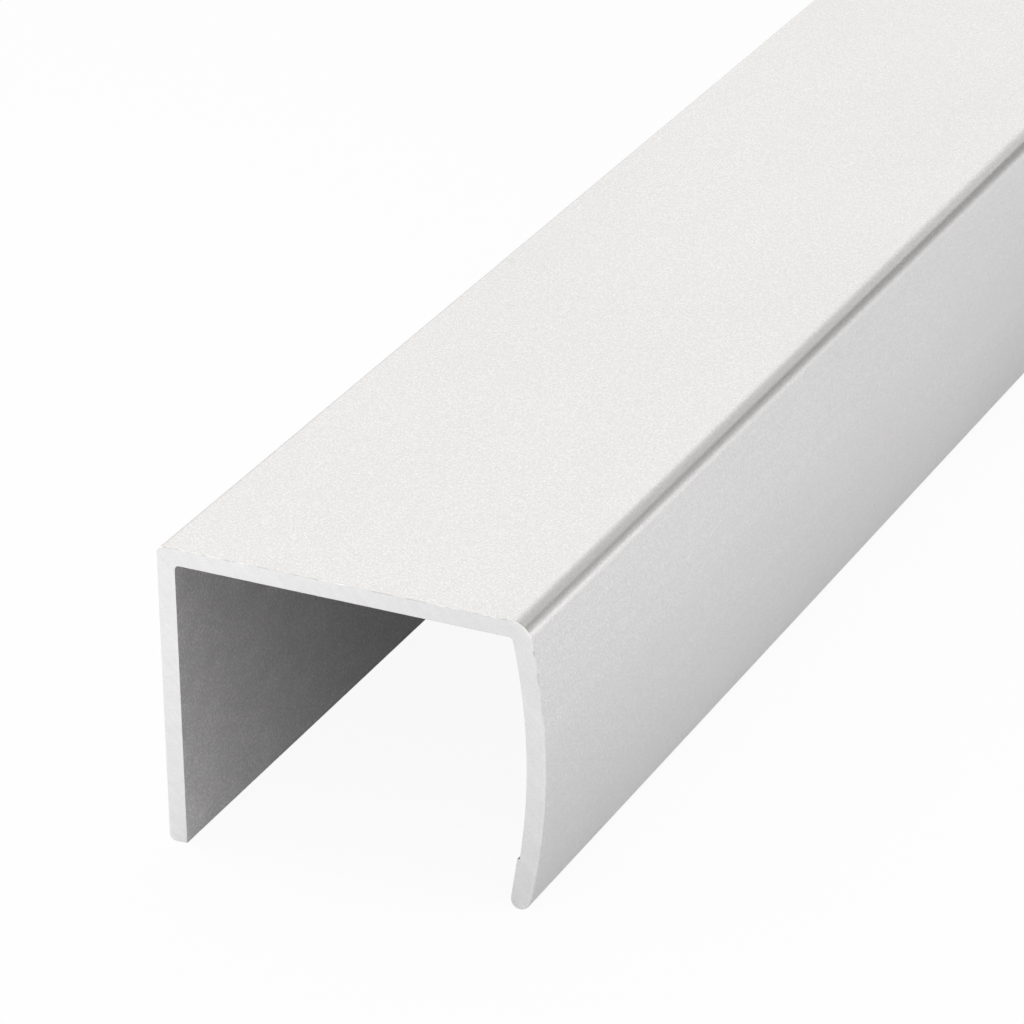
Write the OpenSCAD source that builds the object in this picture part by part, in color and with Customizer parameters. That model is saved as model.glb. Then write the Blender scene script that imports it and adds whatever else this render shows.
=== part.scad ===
// Extruded aluminium channel: a web on one flat leg and one bowed leg that ends in a catch.
// The web falls a little from the flat leg to the bowed one.
// X runs across the section, Y along the stock and Z up, and both feet stand on Z = 0.
// The origin lies under the middle of the stock. All sizes are in millimetres.

/* [Stock] */
// Length of the cut piece
stock_length = 1000; // [250:50:3000]
// Overall width, from the flat leg's outer face to the crest of the bow
stock_width = 25.5; // [20:0.5:40]
// Overall height, from the feet to the top of the web at the flat leg
stock_height = 20; // [16:0.5:30]
// Thickness of both legs
wall = 1.2; // [0.8:0.1:2]
// Thickness of the web
web_wall = 1.1; // [0.8:0.1:2]
// Fall of the web over the overall width, down towards the bowed leg
web_fall = 0.9; // [0:0.1:2]

/* [Flat leg] */
// Radius of the outer corner between the web and the flat leg
flat_corner_radius = 0.5; // [0.2:0.1:1.5]
// Radius of the fillet inside that corner
flat_fillet_radius = 0.3; // [0.1:0.1:1.5]
// Radius of the outer edge of the flat leg's foot
foot_edge_radius = 0.4; // [0.1:0.1:0.7]

/* [Bowed leg] */
// Radius of the bow's outer face
bow_radius = 41; // [30:1:80]
// Height of the bow's crest above the feet
bow_crest = 10.2; // [8:0.2:13]
// Radius of the outer corner between the web and the bowed leg
bow_corner_radius = 1.2; // [0.4:0.1:3]
// Radius of the fillet inside that corner
bow_fillet_radius = 0.3; // [0.1:0.1:2]

/* [Catch] */
// Height of the catch's shelf above the feet
catch_height = 3.4; // [2.4:0.1:6]
// Depth of the shelf, inward from the bowed leg's inner face
catch_depth = 0.15; // [0.1:0.05:0.6]
// How much of that depth is left where the catch's flat inner face runs into the round of the foot
catch_foot_depth = 0.05; // [0:0.05:0.2]

/* [Hidden] */
$fn = 180;
satin_silver = [0.82, 0.82, 0.81];

// How far a cut runs past the face that it opens
overrun = 0.25;

// How much fuller than a tangent arc a rounding on the bow is, so that it crosses the face it meets
fullness = 0.001;

// Slope of the web, and the angle that this leaves between the web and the flat leg
fall_angle = atan(web_fall / stock_width);
leg_angle = 90 - fall_angle;

// Faces of the flat leg, and the level at which its inner face meets the web's underside
flat_outer_x = -stock_width / 2;
flat_inner_x = flat_outer_x + wall;
flat_under_z = stock_height - web_wall / cos(fall_angle) - wall * tan(fall_angle);

// Level below the feet that the cuts there run down to
under_feet_z = -overrun - overrun;

// Axis of the bow, and its inner face
bow_x = stock_width / 2 - bow_radius;
bow_inner_radius = bow_radius - wall;

// Distance of the web's top from the axis of the bow, square to the web
web_rise = (stock_height - bow_crest) * cos(fall_angle) + (flat_outer_x - bow_x) * sin(fall_angle);

// Full round at the bowed leg's foot, which touches the floor, the bow and the catch's inner face
tip_radius = (wall + catch_foot_depth) / 2;
tip_axis_radius = bow_radius - tip_radius;
tip_angle = -asin((bow_crest - tip_radius - fullness) / tip_axis_radius);
tip_x = bow_x + tip_axis_radius * cos(tip_angle);
tip_z = tip_radius + fullness;

// Lip of the catch's shelf, and the lean from upright of the flat face from there down to the round
lip_x = bow_x + sqrt(pow(bow_inner_radius, 2) - pow(bow_crest - catch_height, 2)) - catch_depth;
lip_rise = catch_height - tip_z;
catch_lean = asin(tip_radius / norm([tip_x - lip_x, lip_rise])) - atan2(tip_x - lip_x, lip_rise);

// Round disc about the axis of the bow.
module bow_disc(radius) {
    translate([bow_x, bow_crest])
        circle(radius);
}

// Everything below a slope that lies a depth under the web's top.
module under_web(depth) {
    reach = stock_width + stock_height;
    translate([flat_outer_x, stock_height])
        rotate(-fall_angle)
            translate([-reach, -depth - reach])
                square([reach + reach, reach]);
}

// Sliver between a corner at the origin and its rounding, with the corner's inside between +X and an angle.
module corner_sliver(radius, angle) {
    centre = [radius / tan(angle / 2), radius];
    reach = radius + overrun;
    difference() {
        polygon([
            centre,
            centre - [0, reach],
            centre - centre * reach / radius,
            centre + reach * [-sin(angle), cos(angle)]
        ]);
        translate(centre)
            circle(radius);
    }
}

// Sliver between the corner where a face of the web meets a face of the bow, and the corner's rounding.
// The face of the web lies face_rise from the axis of the bow.
module bow_corner_sliver(face_rise, face_radius, radius) {
    axis_radius = face_radius - radius;
    axis_rise = face_rise - radius;
    axis_angle = asin(axis_rise / axis_radius);
    reach = radius + overrun;
    translate([bow_x, bow_crest])
        rotate(-fall_angle)
            translate([axis_radius * cos(axis_angle), axis_rise])
                difference() {
                    polygon([
                        [0, 0],
                        [reach, reach * tan(axis_angle)],
                        [reach, reach],
                        [0, reach]
                    ]);
                    circle(radius + fullness);
                }
}

// Everything within the section's outer faces, running past the feet.
module outer_region() {
    difference() {
        intersection() {
            translate([flat_outer_x, -overrun])
                square([stock_width + overrun, stock_height + overrun]);
            under_web(0);
            bow_disc(bow_radius);
        }
        translate([flat_outer_x, stock_height])
            rotate(-90)
                corner_sliver(flat_corner_radius, leg_angle);
        bow_corner_sliver(web_rise, bow_radius, bow_corner_radius);
    }
}

// What the bowed leg gains inward below the shelf of its catch.
module catch_region() {
    drop = catch_height - under_feet_z;
    translate([lip_x, catch_height])
        polygon([
            [0, 0],
            [-drop * tan(catch_lean), -drop],
            [stock_width / 2 - lip_x, -drop],
            [stock_width / 2 - lip_x, 0]
        ]);
}

// The open channel between the legs, under the web.
module channel_region() {
    difference() {
        intersection() {
            translate([flat_inner_x, under_feet_z])
                square([stock_width, stock_height - under_feet_z]);
            under_web(web_wall);
            bow_disc(bow_inner_radius);
        }
        translate([flat_inner_x, flat_under_z])
            rotate(-90)
                corner_sliver(flat_fillet_radius, leg_angle);
        bow_corner_sliver(web_rise - web_wall, bow_inner_radius, bow_fillet_radius);
        catch_region();
    }
}

// What is trimmed off the flat leg to end it in a level foot with a rounded outer edge.
module flat_foot_trim() {
    translate([flat_outer_x - overrun, under_feet_z])
        square([wall + overrun, -under_feet_z]);
    translate([flat_outer_x, 0])
        corner_sliver(foot_edge_radius, 90);
}

// What is trimmed off the bowed leg to end it in a full round.
module bow_foot_trim() {
    reach = wall + catch_depth + overrun;
    outward = reach * [cos(tip_angle), sin(tip_angle)];
    inward = reach * [-cos(catch_lean), sin(catch_lean)];
    below = [0, -reach - reach];
    translate([tip_x, tip_z])
        difference() {
            polygon([[0, 0], outward, outward + below, inward + below, inward]);
            circle(tip_radius + fullness);
        }
}

// The section that the die gives, drawn with Z upward on the page.
module section() {
    difference() {
        outer_region();
        channel_region();
        flat_foot_trim();
        bow_foot_trim();
    }
}

// The cut piece of stock, lying along Y.
module profile() {
    color(satin_silver)
        rotate([90, 0, 0])
            linear_extrude(height = stock_length, center = true)
                section();
}

profile();
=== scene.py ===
"""Dresses the extruded channel: a satin blasted bar with bright sawn ends, on a white studio floor.

Every length is in metres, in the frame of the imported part: X across the section, Y along the stock, Z up.
"""

import functools
import logging
import math
from dataclasses import dataclass, field, replace
from enum import Enum, IntEnum
from typing import Any

import bpy
import numpy as np
from mathutils import Matrix, Vector


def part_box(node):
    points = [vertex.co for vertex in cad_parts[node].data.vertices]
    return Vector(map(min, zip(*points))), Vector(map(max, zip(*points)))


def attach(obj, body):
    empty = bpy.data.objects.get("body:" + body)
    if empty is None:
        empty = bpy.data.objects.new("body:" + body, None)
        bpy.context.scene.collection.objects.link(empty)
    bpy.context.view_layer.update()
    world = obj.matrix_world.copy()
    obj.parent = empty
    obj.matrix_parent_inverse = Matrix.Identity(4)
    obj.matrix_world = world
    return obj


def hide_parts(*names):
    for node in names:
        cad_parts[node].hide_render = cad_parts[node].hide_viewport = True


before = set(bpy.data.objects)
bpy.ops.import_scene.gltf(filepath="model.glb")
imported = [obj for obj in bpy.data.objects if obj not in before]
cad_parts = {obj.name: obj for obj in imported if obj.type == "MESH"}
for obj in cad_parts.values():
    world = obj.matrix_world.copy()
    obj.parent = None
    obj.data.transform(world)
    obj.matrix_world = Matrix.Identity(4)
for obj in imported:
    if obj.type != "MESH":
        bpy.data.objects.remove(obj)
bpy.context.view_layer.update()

LOG = logging.getLogger("channel_bar")
MM = 0.001
MICRON = 0.000001
NODE_NAME = "profile"
BODY_NAME = "root"
PAINTED_SHADE_ATTRIBUTE = "painted_rim_shade"
WHITE = (1.0, 1.0, 1.0, 1.0)


class Finish(IntEnum):
    """Material slots of the bar."""

    SKIN = 0
    BOW = 1
    INSIDE = 2
    SAWN = 3


class Spacing(Enum):
    """How the points of a stretch are spread along it."""

    EVEN = "even"
    GATHERED = "gathered at both ends"


def stations(count: int, spacing: Spacing) -> np.ndarray:
    """Places points along a stretch, from 0 up to but not including 1.

    Even points are k / n; gathered ones are half of 1 - cos(pi k / n), which crowds them at both ends.

    Args:
        count: Number of points, n.
        spacing: How they are spread.

    Returns:
        Array of n shares of the stretch.
    """
    share = np.arange(count) / count
    if spacing is Spacing.GATHERED:
        return 0.5 - 0.5 * np.cos(math.pi * share)
    return share


def line(start: tuple[float, float], end: tuple[float, float], count: int) -> np.ndarray:
    """Draws a straight stretch of the section: start plus a share of the way to the end.

    Args:
        start: First point, in X and Z.
        end: Point where the next stretch begins, which is left to it.
        count: Number of points.

    Returns:
        Points as rows of X and Z.
    """
    share = stations(count, Spacing.GATHERED)[:, None]
    return np.asarray(start) * (1.0 - share) + np.asarray(end) * share


def eased(share: np.ndarray) -> np.ndarray:
    """Smooth step of a share from 0 to 1: 3 s^2 - 2 s^3, level at both ends."""
    return share * share * (3.0 - 2.0 * share)


def polar(centre: tuple[float, float], radius: float, angle: float) -> tuple[float, float]:
    """Point at a radius and an angle about a centre, in X and Z."""
    return (centre[0] + radius * math.cos(angle), centre[1] + radius * math.sin(angle))


def arc(centre: tuple[float, float], radius: float, first: float, last: float, count: int) -> np.ndarray:
    """Draws a round stretch of the section: centre plus radius times (cos, sin) of an even run of angles.

    Args:
        centre: Centre of the arc, in X and Z.
        radius: Radius of the arc.
        first: Angle of the first point, in radians from +X towards +Z.
        last: Angle where the next stretch begins, which is left to it.
        count: Number of points.

    Returns:
        Points as rows of X and Z.
    """
    angle = first + (last - first) * stations(count, Spacing.EVEN)
    return np.asarray(centre) + radius * np.stack([np.cos(angle), np.sin(angle)], axis=1)


@dataclass(frozen=True)
class StretchCounts:
    """Points on each pair of stretches, the outer one and the inner one that it faces across the wall."""

    foot_edge: int = 8
    flat_leg: int = 110
    flat_corner: int = 12
    web: int = 140
    bow_corner: int = 18
    bow_shoulder: int = 14
    bow: int = 120
    shelf: int = 4
    catch: int = 22
    tip: int = 12
    across: int = 5


@dataclass(frozen=True)
class ChannelSection:
    """The section that the die gives: a falling web, a flat leg, and a bowed leg with a catch."""

    width: float
    box_height: float
    wall: float = 1.2 * MM
    web_wall: float = 1.1 * MM
    web_fall: float = 0.9 * MM
    flat_corner_radius: float = 0.5 * MM
    flat_fillet_radius: float = 0.3 * MM
    foot_edge_radius: float = 0.4 * MM
    bow_radius: float = 41.0 * MM
    bow_crest: float = 10.2 * MM
    bow_corner_radius: float = 1.26 * MM
    bow_shoulder_radius: float = 2.01 * MM
    bow_shoulder_first: float = math.radians(39.5)
    bow_shoulder_last: float = math.radians(20.0)
    bow_fillet_radius: float = 0.3 * MM
    catch_height: float = 3.4 * MM
    catch_depth: float = 0.15 * MM
    catch_foot_depth: float = 0.05 * MM
    counts: StretchCounts = field(default_factory=StretchCounts)

    @property
    def flat_outer_x(self) -> float:
        """Outer face of the flat leg."""
        return -self.width / 2

    @property
    def flat_inner_x(self) -> float:
        """Inner face of the flat leg."""
        return self.flat_outer_x + self.wall

    @property
    def fall_angle(self) -> float:
        """Slope of the web, down towards the bowed leg."""
        return math.atan(self.web_fall / self.width)

    @property
    def square_angle(self) -> float:
        """Direction square to the web's top, outwards."""
        return math.pi / 2 - self.fall_angle

    @property
    def height(self) -> float:
        """Level at which the web's top would meet the flat leg's outer face, but for their round."""
        slope = self.fall_angle
        return self.box_height + self.flat_corner_radius * ((1.0 + math.sin(slope)) / math.cos(slope) - 1.0)

    @property
    def bow_axis(self) -> tuple[float, float]:
        """Axis of the bow, in X and Z."""
        return (self.width / 2 - self.bow_radius, self.bow_crest)

    @property
    def web_rise(self) -> float:
        """Distance of the web's top from the axis of the bow, square to the web.

        A step to the flat leg's top corner is (across, up), and its part square to the web is
        up times the slope's cosine plus across times the slope's sine.

        Returns:
            The distance.
        """
        axis_x, axis_z = self.bow_axis
        slope = self.fall_angle
        return (self.height - axis_z) * math.cos(slope) + (self.flat_outer_x - axis_x) * math.sin(slope)

    @property
    def tip_radius(self) -> float:
        """Full round of the bowed leg's foot."""
        return (self.wall + self.catch_foot_depth) / 2

    @property
    def tip_angle(self) -> float:
        """Direction of the tip's centre, seen from the axis of the bow."""
        return -math.asin((self.bow_crest - self.tip_radius) / (self.bow_radius - self.tip_radius))

    def web_level(self, across: Any, depth: float) -> Any:
        """Level of the slope that lies a depth under the web's top, at places across the section."""
        slope = self.fall_angle
        return self.height - depth / math.cos(slope) - (across - self.flat_outer_x) * math.tan(slope)

    def on_bow(self, radius: float, angle: float) -> tuple[float, float]:
        """Point at a radius and an angle about the axis of the bow."""
        return polar(self.bow_axis, radius, angle)

    def along_web(self, along: float, rise: float) -> tuple[float, float]:
        """Point at a distance along the web, and one square to it, from the axis of the bow."""
        return self.on_bow(math.hypot(along, rise), math.atan2(rise, along) - self.fall_angle)

    def angle_at(self, radius: float, level: float) -> float:
        """Angle at which a circle about the axis of the bow reaches a level."""
        return math.asin((level - self.bow_crest) / radius)

    def tip_centre(self) -> tuple[float, float]:
        """Centre of the tip's full round."""
        return self.on_bow(self.bow_radius - self.tip_radius, self.tip_angle)

    def catch_lip(self) -> tuple[float, float]:
        """Lip of the catch's shelf, a depth inward from the bowed leg's inner face.

        Returns:
            The lip, in X and Z.
        """
        bow_face = self.bow_radius - self.wall
        shelf = self.on_bow(bow_face, self.angle_at(bow_face, self.catch_height))
        return (shelf[0] - self.catch_depth, shelf[1])

    def catch_lean(self) -> float:
        """Lean from upright of the catch's flat face, which runs from the lip to touch the tip's round.

        It is the angle that the round's radius takes up, seen from the lip, less the one to its centre.

        Returns:
            Angle in radians, down towards the flat leg.
        """
        lip, centre = self.catch_lip(), self.tip_centre()
        across, drop = centre[0] - lip[0], lip[1] - centre[1]
        return math.asin(self.tip_radius / math.hypot(across, drop)) - math.atan2(across, drop)

    def bow_bend(self) -> tuple[tuple[float, float], tuple[float, float], float]:
        """Places the bowed corner: a round off the web, then a flatter shoulder up to a faint crease.

        Both are set out along the web and square to it. The shoulder's angles are counted from the web.

        Returns:
            Centre of the round, centre of the shoulder, and the angle about the bow's axis at the crease.
        """
        small, large = self.bow_corner_radius, self.bow_shoulder_radius
        first, last = self.bow_shoulder_first, self.bow_shoulder_last
        bend_rise = self.web_rise - small
        shoulder_rise = bend_rise + (small - large) * math.sin(first)
        crease = math.asin((shoulder_rise + large * math.sin(last)) / self.bow_radius)
        shoulder_along = self.bow_radius * math.cos(crease) - large * math.cos(last)
        bend_along = shoulder_along - (small - large) * math.cos(first)
        bend = self.along_web(bend_along, bend_rise)
        return bend, self.along_web(shoulder_along, shoulder_rise), crease - self.fall_angle

    def outer_line(self) -> np.ndarray:
        """Outer face from the flat leg's foot, over the web, down to the bowed leg's tip.

        Returns:
            Points as rows of X and Z.
        """
        left, n = self.flat_outer_x, self.counts
        foot, corner, round_off = self.foot_edge_radius, self.flat_corner_radius, self.bow_corner_radius
        half_turn, quarter, square = math.pi, math.pi / 2, self.square_angle
        edge = (left + corner, self.web_level(left + corner, corner))
        bend, shoulder, crease = self.bow_bend()
        first, last = self.bow_shoulder_first - self.fall_angle, self.bow_shoulder_last - self.fall_angle
        shelf_angle = self.angle_at(self.bow_radius, self.catch_height)
        catch_angle = self.angle_at(self.bow_radius, self.catch_height - self.catch_depth)
        return np.concatenate([
            arc((left + foot, foot), foot, 3 * quarter, half_turn, n.foot_edge),
            line((left, foot), (left, edge[1]), n.flat_leg),
            arc(edge, corner, half_turn, square, n.flat_corner),
            line(polar(edge, corner, square), polar(bend, round_off, square), n.web),
            arc(bend, round_off, square, first, n.bow_corner),
            arc(shoulder, self.bow_shoulder_radius, first, last, n.bow_shoulder),
            arc(self.bow_axis, self.bow_radius, crease, shelf_angle, n.bow),
            arc(self.bow_axis, self.bow_radius, shelf_angle, catch_angle, n.shelf),
            arc(self.bow_axis, self.bow_radius, catch_angle, self.tip_angle, n.catch),
            arc(self.tip_centre(), self.tip_radius, self.tip_angle, self.tip_angle - quarter, n.tip),
        ])

    def inner_line(self) -> np.ndarray:
        """Inner face from the flat leg's foot, under the web, down past the catch to the bowed leg's tip.

        Returns:
            Points as rows of X and Z, each facing the point of the outer line with its number.
        """
        left, n = self.flat_inner_x, self.counts
        foot, fillet, blend = self.foot_edge_radius, self.flat_fillet_radius, self.bow_fillet_radius
        half_turn, quarter, square = math.pi, math.pi / 2, self.square_angle
        edge = (left + fillet, self.web_level(left + fillet, self.web_wall + fillet))
        bow_face = self.bow_radius - self.wall
        bend_rise = self.web_rise - self.web_wall - blend
        bend_angle = math.asin(bend_rise / (bow_face - blend)) - self.fall_angle
        bend = self.on_bow(bow_face - blend, bend_angle)
        shelf_angle = self.angle_at(bow_face, self.catch_height)
        lip, tip, touch = self.catch_lip(), self.tip_centre(), half_turn - self.catch_lean()
        bottom = self.tip_angle + 3 * quarter
        return np.concatenate([
            line((left, 0.0), (left, foot), n.foot_edge),
            line((left, foot), (left, edge[1]), n.flat_leg),
            arc(edge, fillet, half_turn, square, n.flat_corner),
            line(polar(edge, fillet, square), polar(bend, blend, square), n.web),
            arc(bend, blend, square, bend_angle, n.bow_corner + n.bow_shoulder),
            arc(self.bow_axis, bow_face, bend_angle, shelf_angle, n.bow),
            line(self.on_bow(bow_face, shelf_angle), lip, n.shelf),
            line(lip, polar(tip, self.tip_radius, touch), n.catch),
            arc(tip, self.tip_radius, touch, bottom, n.tip),
        ])

    def tip_line(self) -> np.ndarray:
        """Points round the bottom of the tip, between the ends of the outer and the inner line.

        Returns:
            Points as rows of X and Z.
        """
        step = math.pi / 2 / self.counts.tip
        bottom = self.tip_angle - math.pi / 2
        count = self.counts.across + 1
        return arc(self.tip_centre(), self.tip_radius, bottom + step, bottom - step, count)[1:]

    def foot_line(self) -> np.ndarray:
        """Points along the flat leg's foot, between the starts of the inner and the outer line.

        Returns:
            Points as rows of X and Z.
        """
        start = (self.flat_inner_x, 0.0)
        end = (self.flat_outer_x + self.foot_edge_radius, 0.0)
        return line(start, end, self.counts.across + 1)[1:]


@dataclass(frozen=True)
class EdgeBreak:
    """The small round that a saw and a file leave on the rim of a cut end, a little ragged."""

    web_radius: float = 0.05 * MM
    bow_radius: float = 0.11 * MM
    foot_radius: float = 0.17 * MM
    inner_radius: float = 0.025 * MM
    bow_reach_shares: tuple[float, float] = (0.84, 0.92)
    web_ragged_share: float = 0.28
    bow_ragged_share: float = 0.08
    ragged_points: int = 3
    ragged_limits: tuple[float, float] = (0.4, 1.5)
    web_margin: float = 0.01 * MM
    # Painted shade of the rim, in place of the shadow that its burr casts.
    web_shade: float = 0.52
    bow_shade: float = 0.45
    dash_level: float = 0.45
    dash_shade: float = 0.3
    quarter_rings: int = 5
    flat_share: float = 0.12

    @property
    def rings(self) -> int:
        """Rings of the quarter round, and the one that ends the rim on the full outline."""
        return self.quarter_rings + 1


@dataclass
class SawnBar:
    """The cut piece of stock: the section carried along Y, with a sawn face and broken rim at each end."""

    section: ChannelSection
    low_y: float
    high_y: float
    rim: EdgeBreak = field(default_factory=EdgeBreak)
    body_rings: int = 24
    rim_margin: float = 0.3 * MM
    sharp_angle: float = math.radians(35.0)
    front_rim_seed: int = 11
    back_rim_seed: int = 23
    front_shade_seed: int = 5
    back_shade_seed: int = 7
    name: str = "channel_bar"

    def outline(self) -> np.ndarray:
        """Closed outline: outer line, tip, inner line backwards, foot.

        Returns:
            Points as rows of X and Z, clockwise when seen along +Y.
        """
        section = self.section
        inner_back = section.inner_line()[::-1]
        return np.concatenate([section.outer_line(), section.tip_line(), inner_back, section.foot_line()])

    def inward(self, outline: np.ndarray) -> np.ndarray:
        """Unit directions into the wall: the chord between a point's neighbours, turned a quarter right.

        Args:
            outline: Closed outline of the section.

        Returns:
            One direction in X and Z for each point of the outline.
        """
        chord = np.roll(outline, -1, axis=0) - np.roll(outline, 1, axis=0)
        turned = np.stack([chord[:, 1], -chord[:, 0]], axis=1)
        return turned / np.linalg.norm(turned, axis=1, keepdims=True)

    def on_bow(self, outline: np.ndarray) -> np.ndarray:
        """Marks the points on the bowed leg's outer face.

        They are the ones in the outline's first half, below the bowed shoulder's centre and more than half
        as far out from the middle of the section.

        Args:
            outline: Closed outline of the section.

        Returns:
            One mark for each point of the outline.
        """
        shoulder_x, shoulder_z = self.section.bow_bend()[1]
        outer = np.arange(len(outline)) < len(outline) // 2
        return outer & (outline[:, 1] < shoulder_z) & (outline[:, 0] > shoulder_x / 2)

    def rim_radii(self, outline: np.ndarray, seed: int) -> np.ndarray:
        """Radius of the broken rim along the outline.

        It is small along the inner line. On the outer line it grows smoothly from the web to the bowed leg,
        and on down that leg to its foot. A smoothed random walk makes it ragged.

        Args:
            outline: Closed outline of the section.
            seed: Seed of the random numbers of this end.

        Returns:
            One radius for each point of the outline.
        """
        rim, half = self.rim, len(outline) // 2
        near, far = rim.bow_reach_shares
        reach = np.clip((outline[:, 0] / (self.section.width / 2) - near) / (far - near), 0.0, 1.0)
        drop = np.clip(1.0 - outline[:, 1] / self.section.height, 0.0, 1.0)
        on_bow = rim.bow_radius + (rim.foot_radius - rim.bow_radius) * drop
        outer = rim.web_radius + (on_bow - rim.web_radius) * eased(reach)
        smooth = np.where(np.arange(len(outline)) < half, outer, rim.inner_radius)
        draw = np.random.default_rng(seed).normal(size=len(outline))
        kernel = np.ones(rim.ragged_points) / rim.ragged_points
        ragged = np.convolve(np.concatenate([draw, draw[:rim.ragged_points - 1]]), kernel, mode="valid")
        share = rim.web_ragged_share + (rim.bow_ragged_share - rim.web_ragged_share) * reach
        return smooth * np.clip(1.0 + share * ragged, *rim.ragged_limits)

    def painted_rim_shade(self, outline: np.ndarray, seed: int) -> np.ndarray:
        """Painted shade of the rim along the outline: darkness in broken dashes that stands in for the
        shadow of a burr.

        The web's upper rim has a shade and the round beside it none. The bow's rim has one that fades down
        to its crest and grows from the sawn face to the skin. A smoothed random walk adds a dash where it is
        high and clears the shade where it is low.

        Args:
            outline: Closed outline of the section.
            seed: Seed of the random numbers of this end.

        Returns:
            One share from 0 to 1 for each ring, from the sawn face inwards, and each point of the outline.
        """
        rim, section = self.rim, self.section
        shoulder_z = section.bow_bend()[1][1]
        on_web = outline[:, 1] > section.web_level(outline[:, 0], rim.web_margin)
        draw = np.random.default_rng(seed).normal(size=len(outline))
        walk = np.convolve(draw, np.ones(rim.ragged_points) / math.sqrt(rim.ragged_points), mode="same")
        length = np.clip((np.abs(walk) - rim.dash_level) / rim.dash_level, 0.0, 1.0)
        dash = rim.dash_shade * length * np.sign(walk)
        above_crest = (outline[:, 1] - section.bow_crest) / (shoulder_z - section.bow_crest)
        bow_shade = np.clip(above_crest, 0.0, 1.0) * (rim.bow_shade + dash)
        growth = np.minimum(np.arange(rim.rings) / (rim.quarter_rings - 1), 1.0)[:, None]
        shades = [np.sign(growth) * (rim.web_shade + dash), growth * bow_shade]
        return np.clip(np.select([on_web, self.on_bow(outline)], shades, 0.0), 0.0, 1.0)

    def rim_rings(self, outline: np.ndarray, end_y: float, into: float, seed: int) -> np.ndarray:
        """Rings round one cut end: a quarter round from the sawn face out to the full outline.

        At an angle t, a point lies r (1 - sin t) inside the outline and r (1 - cos t) from the end's plane.
        One more ring, a small share of r further in, keeps the round from shading the skin beside it.

        Args:
            outline: Closed outline of the section.
            end_y: Plane of the sawn face.
            into: Direction along Y into the bar, 1 or -1.
            seed: Seed of this end's raggedness.

        Returns:
            Array of rings by points by X, Y and Z, from the sawn face inwards.
        """
        radius = self.rim_radii(outline, seed)
        turn = np.linspace(0.0, math.pi / 2, self.rim.quarter_rings)
        turn = np.append(turn, math.pi / 2)[:, None]
        inset = radius * (1.0 - np.sin(turn))
        depth = radius * (1.0 - np.cos(turn))
        depth[-1] += self.rim.flat_share * radius
        flat = outline + inset[:, :, None] * self.inward(outline)
        return np.stack([flat[:, :, 0], end_y + into * depth, flat[:, :, 1]], axis=2)

    def body_ring_stack(self, outline: np.ndarray) -> np.ndarray:
        """Rings of the full outline, spread evenly along the bar between its two rims.

        Args:
            outline: Closed outline of the section.

        Returns:
            Array of rings by points by X, Y and Z.
        """
        along = np.linspace(self.low_y + self.rim_margin, self.high_y - self.rim_margin, self.body_rings)
        shape = (self.body_rings, len(outline))
        across = np.broadcast_to(outline[:, 0], shape)
        upward = np.broadcast_to(outline[:, 1], shape)
        return np.stack([across, np.broadcast_to(along[:, None], shape), upward], axis=2)

    def end_grid(self, points: int) -> np.ndarray:
        """Numbers of the outline's points on a grid of rows along the wall by columns across it.

        Args:
            points: Number of points on the outline.

        Returns:
            Grid of numbers, with -1 where the sawn face needs a point of its own.
        """
        across = self.section.counts.across
        rows = (points - 2 * across) // 2
        grid = np.full((rows, across + 2), -1)
        grid[:, 0] = np.arange(rows)
        grid[:, -1] = rows + across + np.arange(rows)[::-1]
        grid[-1, 1:-1] = rows + np.arange(across)
        grid[0, 1:-1] = points - across + np.arange(across)[::-1]
        return grid

    def sawn_points(self, ring: np.ndarray) -> np.ndarray:
        """Points inside a sawn face: shares of the way across the wall, from outer line to inner line.

        Args:
            ring: Points of the end's ring, as rows of X, Y and Z.

        Returns:
            Points as rows of X, Y and Z, row by row of the end's grid.
        """
        grid = self.end_grid(len(ring))
        outer, inner = ring[grid[1:-1, 0]], ring[grid[1:-1, -1]]
        share = line((0.0, 0.0), (1.0, 0.0), self.section.counts.across + 1)[1:, 0]
        return (outer[:, None] * (1.0 - share[:, None]) + inner[:, None] * share[:, None]).reshape(-1, 3)

    def side_faces(self, rings: int, points: int) -> np.ndarray:
        """Quads between neighbouring rings, facing out of the wall.

        Args:
            rings: Number of rings.
            points: Number of points on a ring.

        Returns:
            Rows of four vertex numbers, ring by ring.
        """
        ring, point = np.meshgrid(np.arange(rings - 1), np.arange(points), indexing="ij")
        after = (point + 1) % points
        low, high = ring * points, (ring + 1) * points
        return np.stack([low + point, low + after, high + after, high + point], axis=-1).reshape(-1, 4)

    def end_faces(self, points: int, ring_start: int, own_start: int) -> np.ndarray:
        """Quads of a sawn face that looks along -Y.

        Args:
            points: Number of points on the outline.
            ring_start: Number of the first vertex of the end's ring.
            own_start: Number of the first vertex inside the face.

        Returns:
            Rows of four vertex numbers.
        """
        grid = self.end_grid(points)
        own = grid < 0
        vertex = grid + ring_start
        vertex[own] = own_start + np.arange(own.sum())
        quads = [vertex[:-1, :-1], vertex[:-1, 1:], vertex[1:, 1:], vertex[1:, :-1]]
        return np.stack(quads, axis=-1).reshape(-1, 4)

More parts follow.
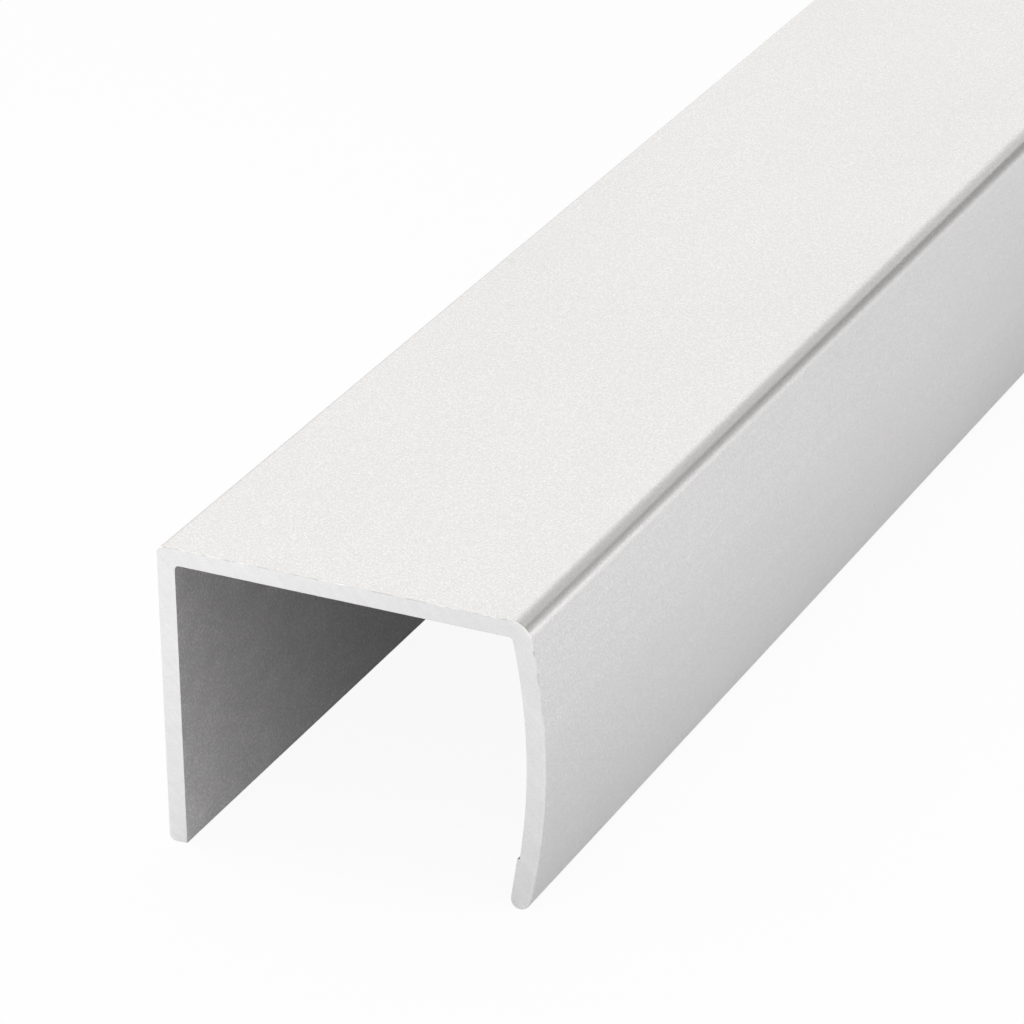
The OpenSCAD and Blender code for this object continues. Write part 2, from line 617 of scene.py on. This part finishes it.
    def build(self) -> bpy.types.Object:
        """Makes the bar's closed mesh from its rings and its two sawn faces.

        Returns:
            The bar, at the origin.
        """
        outline = self.outline()
        points = len(outline)
        front = self.rim_rings(outline, self.low_y, 1.0, self.front_rim_seed)
        back = self.rim_rings(outline, self.high_y, -1.0, self.back_rim_seed)[::-1]
        rings = np.concatenate([front, self.body_ring_stack(outline), back])
        side = rings.reshape(-1, 3)
        front_own, back_own = self.sawn_points(rings[0]), self.sawn_points(rings[-1])
        last_ring = len(side) - points
        faces_side = self.side_faces(len(rings), points)
        faces_front = self.end_faces(points, 0, len(side))
        faces_back = self.end_faces(points, last_ring, len(side) + len(front_own))[:, ::-1]
        ring_of_face = np.repeat(np.arange(len(rings) - 1), points)
        in_rim = (ring_of_face < self.rim.rings - 1) | (ring_of_face >= len(rings) - self.rim.rings)
        inside = np.tile(np.arange(points) >= points // 2, len(rings) - 1)
        bowed = np.tile(self.on_bow(outline), len(rings) - 1)
        places, kinds = [in_rim, inside, bowed], [Finish.SAWN, Finish.INSIDE, Finish.BOW]
        finish_side = np.select(places, kinds, Finish.SKIN)
        finish_ends = np.full(len(faces_front) + len(faces_back), Finish.SAWN)
        finish = np.concatenate([finish_side, finish_ends]).astype(np.int32)
        mesh = bpy.data.meshes.new(self.name)
        vertices = np.concatenate([side, front_own, back_own])
        faces = np.concatenate([faces_side, faces_front, faces_back])
        mesh.from_pydata(vertices.tolist(), [], faces.tolist())
        mesh.polygons.foreach_set("material_index", finish)
        mesh.polygons.foreach_set("use_smooth", np.ones(len(faces), dtype=bool))
        mesh.set_sharp_from_angle(angle=self.sharp_angle)
        # Painted shade of both rims, kept on the vertices for the sawn material.
        shade = np.zeros((len(rings), points))
        shade[:self.rim.rings] = self.painted_rim_shade(outline, self.front_shade_seed)
        shade[-self.rim.rings:] = self.painted_rim_shade(outline, self.back_shade_seed)[::-1]
        shade_of_all = np.pad(shade.ravel(), (0, len(vertices) - shade.size)).astype(np.float32)
        stored = mesh.attributes.new(PAINTED_SHADE_ATTRIBUTE, "FLOAT", "POINT")
        stored.data.foreach_set("value", shade_of_all)
        mesh.update()
        bar = bpy.data.objects.new(self.name, mesh)
        bpy.context.scene.collection.objects.link(bar)
        return bar

    def dress(self, bar: bpy.types.Object, finishes: dict[Finish, "BlastedSkin | SawnFace"]) -> None:
        """Gives the bar its finishes and sets it on the part's body in place of the plain node.

        Args:
            bar: The bar that build made.
            finishes: Finish of each material slot.
        """
        for slot in Finish:
            bar.data.materials.append(finishes[slot].material())
        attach(bar, BODY_NAME)
        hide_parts(NODE_NAME)


@dataclass(frozen=True)
class Pattern:
    """Size of a pattern's grains or streaks, its strength, and how far it is drawn out along Y."""

    size: float
    contrast: float
    stretch: float = 1.0


class NodeSheet:
    """A node tree that is filled node by node."""

    def __init__(self, tree: bpy.types.NodeTree) -> None:
        """Empties a tree and takes it over."""
        self.tree = tree
        tree.nodes.clear()

    def add(self, kind: str, inputs: dict[str | int, Any] | None = None, **settings: Any) -> bpy.types.Node:
        """Places a node.

        Args:
            kind: Type of the node.
            inputs: Values or output sockets by the name or number of the input that they feed.
            settings: Properties of the node.

        Returns:
            The new node.
        """
        node = self.tree.nodes.new(kind)
        for key, value in settings.items():
            setattr(node, key, value)
        self.feed(node, inputs or {})
        return node

    def feed(self, node: bpy.types.Node, inputs: dict[str | int, Any]) -> None:
        """Links each socket, and sets each plain value, on the input of its name or number.

        Args:
            node: Node that is fed.
            inputs: Values or output sockets by the name or number of the input that they feed.
        """
        for key, value in inputs.items():
            if isinstance(value, bpy.types.NodeSocket):
                self.tree.links.new(value, node.inputs[key])
            else:
                node.inputs[key].default_value = value

    def math(self, operation: str, first: Any, second: Any) -> bpy.types.NodeSocket:
        """Output of a Math node on two values or sockets."""
        return self.add("ShaderNodeMath", {0: first, 1: second}, operation=operation).outputs[0]

    def product(self, *values: Any) -> bpy.types.NodeSocket:
        """Output of a chain of Math nodes that multiplies all values and sockets."""
        return functools.reduce(lambda left, right: self.math("MULTIPLY", left, right), values)

    def squeezed(self, place: Any, stretch: Any) -> bpy.types.NodeSocket:
        """Coordinates with Y divided by a stretch, so that a texture on them is drawn out along Y.

        Args:
            place: Socket of the coordinates.
            stretch: Value or socket of the stretch.

        Returns:
            Socket of the new coordinates.
        """
        parts = self.add("ShaderNodeSeparateXYZ", {"Vector": place}).outputs
        along = self.math("DIVIDE", parts["Y"], stretch)
        return self.add("ShaderNodeCombineXYZ", {"X": parts["X"], "Y": along, "Z": parts["Z"]}).outputs[0]

    def pattern(self, tree: bpy.types.NodeTree, place: bpy.types.NodeSocket, laid: Pattern) -> Any:
        """Lays the pattern of a shared group on the given coordinates.

        Args:
            tree: The group.
            place: Socket of the coordinates.
            laid: Size, strength and stretch of the pattern.

        Returns:
            The outputs of the group's node, Tone and Height.
        """
        node = self.add("ShaderNodeGroup", node_tree=tree)
        inputs = {"Vector": place, "Density": 1.0 / laid.size, "Contrast": laid.contrast}
        self.feed(node, {**inputs, "Stretch": laid.stretch})
        return node.outputs

    def tinted(self, colour: tuple[float, float, float, float], tone: Any) -> bpy.types.NodeSocket:
        """Output of a node that multiplies a colour by a tone."""
        return self.add("ShaderNodeVectorMath", {0: colour[:3], 3: tone}, operation="SCALE").outputs[0]

    def about_one(self, value: Any, span: tuple[float, float], contrast: Any) -> bpy.types.NodeSocket:
        """Output of a Map Range node that carries a span onto 1 minus a contrast to 1 plus it.

        Args:
            value: Socket that is carried over.
            span: The span of that socket's values.
            contrast: Value or socket of the contrast.

        Returns:
            Socket of a tone about 1.
        """
        low = self.math("SUBTRACT", 1.0, contrast)
        high = self.math("ADD", 1.0, contrast)
        return self.remap(value, span, (low, high))

    def remap(self, value: Any, span: tuple[float, float], to: tuple[Any, Any]) -> bpy.types.NodeSocket:
        """Output of a Map Range node that carries one span onto another."""
        spans = {"From Min": span[0], "From Max": span[1], "To Min": to[0], "To Max": to[1]}
        return self.add("ShaderNodeMapRange", {"Value": value, **spans}).outputs["Result"]


def new_material(name: str) -> tuple[bpy.types.Material, NodeSheet]:
    """Makes a material with an empty node tree.

    Args:
        name: Name of the material.

    Returns:
        The material, and the sheet of its node tree.
    """
    made = bpy.data.materials.new(name)
    made.use_nodes = True
    return made, NodeSheet(made.node_tree)


def new_group(name: str) -> tuple[bpy.types.NodeTree, NodeSheet]:
    """Makes a shader group with the sockets that all patterns here share.

    Args:
        name: Name of the group.

    Returns:
        The group and its sheet. The group's inputs are Vector, Density, Contrast and Stretch, and its
        outputs are Tone and Height.
    """
    group = bpy.data.node_groups.new(name, "ShaderNodeTree")
    group.interface.new_socket("Vector", in_out="INPUT", socket_type="NodeSocketVector")
    for label in ("Density", "Contrast", "Stretch"):
        group.interface.new_socket(label, in_out="INPUT", socket_type="NodeSocketFloat")
    for label in ("Tone", "Height"):
        group.interface.new_socket(label, in_out="OUTPUT", socket_type="NodeSocketFloat")
    return group, NodeSheet(group)


class GrainGroup:
    """Shader group of fine round grains, as a blast or a matt etch leaves them."""

    NAME = "Blasted grain"
    DOT_SPAN = (0.15, 0.7)
    GRAIN_SPAN = (0.3, 1.3)

    @classmethod
    def tree(cls) -> bpy.types.NodeTree:
        """Makes the group once: round bright grains, each of its own strength, over a soft noise.

        Returns:
            The group, with inputs Vector, Density, Contrast and Stretch, and outputs Tone and Height.
        """
        found = bpy.data.node_groups.get(cls.NAME)
        if found:
            return found
        group, sheet = new_group(cls.NAME)
        given = sheet.add("NodeGroupInput").outputs
        place = sheet.squeezed(given["Vector"], given["Stretch"])
        cells = sheet.add("ShaderNodeTexVoronoi", {"Vector": place, "Scale": given["Density"]}).outputs
        lot = sheet.add("ShaderNodeSeparateColor", {"Color": cells["Color"]}).outputs[0]
        dot = sheet.math("MULTIPLY", sheet.remap(cells["Distance"], cls.DOT_SPAN, (1.0, 0.0)), lot)
        soft = {"Vector": place, "Scale": given["Density"], "Detail": 0.0}
        grain = sheet.math("ADD", dot, sheet.add("ShaderNodeTexNoise", soft).outputs["Fac"])
        tone = sheet.about_one(grain, cls.GRAIN_SPAN, given["Contrast"])
        sheet.add("NodeGroupOutput", {"Tone": tone, "Height": grain})
        return group


class StreakGroup:
    """Shader group of long thin streaks along Y of the given coordinates, as a die or a saw draws them."""

    NAME = "Drawn streaks"
    DETAIL = 3.0
    DETAIL_ROUGHNESS = 0.55
    NOISE_SPAN = (0.25, 0.75)

    @classmethod
    def tree(cls) -> bpy.types.NodeTree:
        """Makes the group once: noise on coordinates squeezed along Y gives a tone about 1 and a height.

        Returns:
            The group, with inputs Vector, Density, Contrast and Stretch, and outputs Tone and Height.
        """
        found = bpy.data.node_groups.get(cls.NAME)
        if found:
            return found
        group, sheet = new_group(cls.NAME)
        given = sheet.add("NodeGroupInput").outputs
        place = sheet.squeezed(given["Vector"], given["Stretch"])
        noise = {"Vector": place, "Scale": given["Density"], "Detail": cls.DETAIL}
        noise["Roughness"] = cls.DETAIL_ROUGHNESS
        streak = sheet.add("ShaderNodeTexNoise", noise).outputs["Fac"]
        tone = sheet.about_one(streak, cls.NOISE_SPAN, given["Contrast"])
        sheet.add("NodeGroupOutput", {"Tone": tone, "Height": streak})
        return group


@dataclass(frozen=True)
class BlastedSkin:
    """Fine blasted and clear anodised aluminium: satin silver with a speckle of small grains."""

    colour: tuple[float, float, float, float] = (0.775, 0.772, 0.765, 1.0)
    metal_share: float = 0.72
    roughness: float = 0.27
    grain: Pattern = Pattern(size=0.12 * MM, contrast=0.09, stretch=1.4)
    grain_relief: float = 0.4 * MICRON
    cloud: Pattern = Pattern(size=14.0 * MM, contrast=0.02, stretch=3.0)
    name: str = "satin_blasted_aluminium"

    @classmethod
    def bowed(cls) -> "BlastedSkin":
        """Finish of the bowed leg's outer face, on which the grains stand out more."""
        return cls(grain=replace(cls.grain, contrast=0.098), name="satin_blasted_bow")

    @classmethod
    def inside(cls) -> "BlastedSkin":
        """Finish of the channel's inner faces, which the blast reaches less: rougher and blotchier. Its
        darker colour is painted shade of the channel's hollow.

        Returns:
            The finish.
        """
        return cls(
            # Painted shade: darker than the skin's colour, for the shade inside the channel.
            colour=(0.68, 0.674, 0.668, 1.0),
            metal_share=0.58,
            roughness=0.48,
            grain=Pattern(size=0.15 * MM, contrast=0.15, stretch=1.2),
            grain_relief=0.1 * MICRON,
            cloud=Pattern(size=1.2 * MM, contrast=0.06, stretch=1.6),
            name="painted_shade_inner_aluminium",
        )

    def material(self) -> bpy.types.Material:
        """Makes the material: grain and faint clouds on the colour, and grain on the relief.

        Returns:
            The finished material.
        """
        made, sheet = new_material(self.name)
        place = sheet.add("ShaderNodeTexCoord").outputs["Object"]
        grain = sheet.pattern(GrainGroup.tree(), place, self.grain)
        cloud = sheet.pattern(StreakGroup.tree(), place, self.cloud)
        tint = sheet.tinted(self.colour, sheet.product(grain["Tone"], cloud["Tone"]))
        relief = {"Height": grain["Height"], "Distance": self.grain_relief, "Strength": 1.0}
        bump = sheet.add("ShaderNodeBump", relief)
        metal = {"Base Color": tint, "Metallic": self.metal_share, "Roughness": self.roughness}
        metal["Normal"] = bump.outputs[0]
        shader = sheet.add("ShaderNodeBsdfPrincipled", metal)
        sheet.add("ShaderNodeOutputMaterial", {"Surface": shader.outputs[0]})
        return made


@dataclass(frozen=True)
class SawnFace:
    """Bare aluminium as a fine saw leaves it: bright, faintly clouded and scratched.

    It carries a painted shade that darkens it towards the bowed leg and the foot.
    """

    colour: tuple[float, float, float, float] = (0.93, 0.933, 0.924, 1.0)
    roughness: float = 0.38
    scratch: Pattern = Pattern(size=0.2 * MM, contrast=0.03, stretch=20.0)
    scratch_angle: float = math.radians(42.0)
    cloud: Pattern = Pattern(size=0.6 * MM, contrast=0.025, stretch=1.5)
    grain: Pattern = Pattern(size=0.1 * MM, contrast=0.035)
    painted_shade_span: tuple[float, float] = (-27.0 * MM, -11.0 * MM)
    painted_shade_share: float = 0.075
    painted_shade_depth: float = 0.5
    name: str = "sawn_aluminium"

    def material(self) -> bpy.types.Material:
        """Makes the material: scratches and clouds that slant across the face, fine grain, a painted shade
        towards the bowed leg and the foot, and a painted shade on the rim.

        Returns:
            The finished material.
        """
        made, sheet = new_material(self.name)
        place = sheet.add("ShaderNodeTexCoord").outputs["Object"]
        slant = {"Vector": place, "Rotation": (math.pi / 2, 0.0, self.scratch_angle)}
        turned = sheet.add("ShaderNodeMapping", slant).outputs[0]
        scratch = sheet.pattern(StreakGroup.tree(), turned, self.scratch)["Tone"]
        cloud = sheet.pattern(StreakGroup.tree(), turned, self.cloud)["Tone"]
        grain = sheet.pattern(GrainGroup.tree(), place, self.grain)["Tone"]
        # Painted shade: the tone falls along X minus Z, which darkens the face towards the bowed leg and the
        # foot.
        parts = sheet.add("ShaderNodeSeparateXYZ", {"Vector": place}).outputs
        run = sheet.math("SUBTRACT", parts["X"], parts["Z"])
        painted_shade_tone = sheet.remap(run, self.painted_shade_span, (1.0, 1.0 - self.painted_shade_share))
        # Painted shade: the rim's stored share darkens the colour where a burr's shadow would fall.
        shade = sheet.add("ShaderNodeAttribute", attribute_name=PAINTED_SHADE_ATTRIBUTE).outputs["Fac"]
        shaded = sheet.remap(shade, (0.0, 1.0), (1.0, 1.0 - self.painted_shade_depth))
        tint = sheet.tinted(self.colour, sheet.product(scratch, cloud, grain, painted_shade_tone, shaded))
        metal = {"Base Color": tint, "Metallic": 1.0, "Roughness": self.roughness}
        shader = sheet.add("ShaderNodeBsdfPrincipled", metal)
        sheet.add("ShaderNodeOutputMaterial", {"Surface": shader.outputs[0]})
        return made


@dataclass(frozen=True)
class Backdrop:
    """The plain white of strength 1 that rays find behind the bar, by the kind of ray."""

    camera_share: float
    mirror_share: float = 0.06

    def share(self, sheet: NodeSheet) -> bpy.types.NodeSocket:
        """Share of white: one for the camera, and one for rays that metal mirrors or glass lets through.

        Args:
            sheet: Node tree of the floor's material or of the world.

        Returns:
            Socket with the share for the ray at hand.
        """
        rays = sheet.add("ShaderNodeLightPath").outputs
        passed_on = sheet.math("ADD", rays["Is Glossy Ray"], rays["Is Transmission Ray"])
        mirrored = sheet.math("MULTIPLY", passed_on, self.mirror_share)
        return sheet.math("ADD", sheet.math("MULTIPLY", rays["Is Camera Ray"], self.camera_share), mirrored)


@dataclass(frozen=True)
class StudioFloor:
    """Plain white floor that keeps a light shadow of the bar."""

    half_size: float = 12.0
    drop: float = 0.02 * MM
    colour: tuple[float, float, float, float] = (0.8155, 0.812, 0.835, 1.0)
    painted_back_shade_span: tuple[float, float] = (-430.0 * MM, -370.0 * MM)
    painted_back_shade_share: float = 0.1
    backdrop: Backdrop = Backdrop(camera_share=0.93)
    name: str = "studio_floor"

    def build(self) -> bpy.types.Object:
        """Makes the floor, a square just under the feet.

        Returns:
            The floor, at the origin.
        """
        side = self.half_size * np.array([-1.0, 1.0])
        x, y = np.meshgrid(side, side)
        corners = np.stack([x.ravel(), y.ravel(), np.full(x.size, -self.drop)], axis=1)
        mesh = bpy.data.meshes.new(self.name)
        upward_quad = (0, 1, 3, 2)
        mesh.from_pydata(corners.tolist(), [], [upward_quad])
        mesh.materials.append(self.material())
        floor = bpy.data.objects.new(self.name, mesh)
        bpy.context.scene.collection.objects.link(floor)
        return floor

    def material(self) -> bpy.types.Material:
        """Makes the floor's material: a matt white with a painted shade that darkens it towards the back,
        under the backdrop's white.

        Returns:
            The finished material.
        """
        made, sheet = new_material(self.name)
        place = sheet.add("ShaderNodeTexCoord").outputs["Object"]
        along = sheet.add("ShaderNodeSeparateXYZ", {"Vector": place}).outputs["Y"]
        # Painted shade: the floor's colour falls towards the back, in place of light that fades there.
        tone = sheet.remap(along, self.painted_back_shade_span, (1.0, 1.0 - self.painted_back_shade_share))
        matt = sheet.add("ShaderNodeBsdfDiffuse", {"Color": sheet.tinted(self.colour, tone)})
        glow = sheet.add("ShaderNodeEmission", {"Color": WHITE, "Strength": 1.0})
        share = self.backdrop.share(sheet)
        mixed = sheet.add("ShaderNodeMixShader", {0: share, 1: matt.outputs[0], 2: glow.outputs[0]})
        sheet.add("ShaderNodeOutputMaterial", {"Surface": mixed.outputs[0]})
        return made


@dataclass(frozen=True)
class SoftPatch:
    """A part of the dome round one direction, with its own brightness and a soft rim."""

    azimuth: float
    elevation: float
    inner: float
    outer: float
    strength: float

    def direction(self) -> tuple[float, float, float]:
        """Unit vector to the middle of the patch, its azimuth turned from +Y towards +X."""
        turn, rise = math.radians(self.azimuth), math.radians(self.elevation)
        return (math.sin(turn) * math.cos(rise), math.cos(turn) * math.cos(rise), math.sin(rise))

    def cosines(self) -> tuple[float, float]:
        """Cosines of the angles at which the soft rim starts and ends."""
        return (math.cos(math.radians(self.outer)), math.cos(math.radians(self.inner)))


@dataclass(frozen=True)
class StudioDome:
    """Soft light from all round, with cards that draw the round corner.

    A little more light comes from the flat leg's side.
    """

    strength: float = 1.055
    colour: tuple[float, float, float, float] = (1.0, 0.992, 0.984, 1.0)
    key: SoftPatch = SoftPatch(azimuth=-75.0, elevation=55.0, inner=15.0, outer=45.0, strength=1.58)
    grey_card: SoftPatch = SoftPatch(azimuth=21.3, elevation=42.0, inner=14.0, outer=28.7, strength=0.41)
    dark_card: SoftPatch = SoftPatch(azimuth=30.3, elevation=21.2, inner=5.2, outer=6.7, strength=0.0)
    low_card: SoftPatch = SoftPatch(azimuth=24.0, elevation=4.0, inner=12.8, outer=15.2, strength=0.0)
    low_panel: SoftPatch = SoftPatch(azimuth=40.3, elevation=3.9, inner=3.4, outer=8.6, strength=2.4)
    left_card: SoftPatch = SoftPatch(azimuth=-42.0, elevation=2.0, inner=4.0, outer=14.0, strength=0.6)
    backdrop: Backdrop = Backdrop(camera_share=1.0)
    name: str = "studio_dome"

    def build(self) -> bpy.types.World:
        """Makes the world: an even dome with its cards, and plain white to the camera.

        Returns:
            The world, set on the scene.
        """
        world = bpy.data.worlds.new(self.name)
        world.use_nodes = True
        sheet = NodeSheet(world.node_tree)
        place = sheet.add("ShaderNodeTexCoord").outputs["Generated"]
        strength = self.strength
        cards = (self.key, self.grey_card, self.dark_card, self.low_card, self.low_panel, self.left_card)
        for card in cards:
            inputs = {0: place, 1: card.direction()}
            facing = sheet.add("ShaderNodeVectorMath", inputs, operation="DOT_PRODUCT").outputs["Value"]
            strength = sheet.remap(facing, card.cosines(), (strength, card.strength))
        dome = sheet.add("ShaderNodeBackground", {"Color": self.colour, "Strength": strength})
        plain = sheet.add("ShaderNodeBackground", {"Color": WHITE, "Strength": 1.0})
        share = self.backdrop.share(sheet)
        mixed = sheet.add("ShaderNodeMixShader", {0: share, 1: dome.outputs[0], 2: plain.outputs[0]})
        sheet.add("ShaderNodeOutputWorld", {"Surface": mixed.outputs[0]})
        bpy.context.scene.world = world
        return world


@dataclass(frozen=True)
class PhotoCamera:
    """Camera at the photograph's viewing angle, over the sawn end and to the bowed side."""

    aim_x: float = 5.15 * MM
    aim_from_end: float = 12.5 * MM
    aim_z: float = 20.0 * MM
    azimuth: float = math.radians(24.725)
    elevation: float = math.radians(24.315)
    roll: float = math.radians(1.076)
    distance: float = 338.62 * MM
    lens: float = 195.54
    sensor: float = 36.0
    near_share: float = 0.05
    far_limit: float = 100.0
    name: str = "photo_camera"

    def build(self, end_y: float) -> bpy.types.Object:
        """Makes the camera and sets it on the scene.

        Args:
            end_y: Plane of the sawn end that the camera looks at.

        Returns:
            The camera.
        """
        level, rise = math.cos(self.elevation), math.sin(self.elevation)
        back = Vector((math.sin(self.azimuth) * level, -math.cos(self.azimuth) * level, rise))
        right = Vector((0.0, 0.0, 1.0)).cross(back).normalized()
        upright = Matrix((right, back.cross(right), back)).transposed()
        data = bpy.data.cameras.new(self.name)
        data.lens = self.lens
        data.sensor_width = self.sensor
        data.clip_start = self.near_share * self.distance
        data.clip_end = self.far_limit
        camera = bpy.data.objects.new(self.name, data)
        aim = Vector((self.aim_x, end_y + self.aim_from_end, self.aim_z))
        turned = upright.to_4x4() @ Matrix.Rotation(-self.roll, 4, "Z")
        camera.matrix_world = Matrix.Translation(aim + back * self.distance) @ turned
        bpy.context.scene.collection.objects.link(camera)
        bpy.context.scene.camera = camera
        return camera


def main() -> None:
    """Builds the camera, the stage and the bar, and reports each."""
    logging.basicConfig(level=logging.INFO, format="%(name)s: %(message)s")
    bpy.context.scene.view_settings.view_transform = "Standard"
    low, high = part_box(NODE_NAME)
    camera = PhotoCamera().build(low.y)
    LOG.info("camera %s, %.0f mm lens", camera.name, camera.data.lens)
    world = StudioDome().build()
    floor = StudioFloor().build()
    LOG.info("stage %s and %s", world.name, floor.name)
    # The flat leg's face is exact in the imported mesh, and the bow's crest is cut short by its facets.
    section = ChannelSection(width=-2.0 * low.x, box_height=high.z)
    stock = SawnBar(section=section, low_y=low.y, high_y=high.y)
    bar = stock.build()
    finishes = {
        Finish.SKIN: BlastedSkin(),
        Finish.BOW: BlastedSkin.bowed(),
        Finish.INSIDE: BlastedSkin.inside(),
        Finish.SAWN: SawnFace(),
    }
    stock.dress(bar, finishes)
    LOG.info("piece %s, %d faces", bar.name, len(bar.data.polygons))


if __name__ == "__main__":
    main()
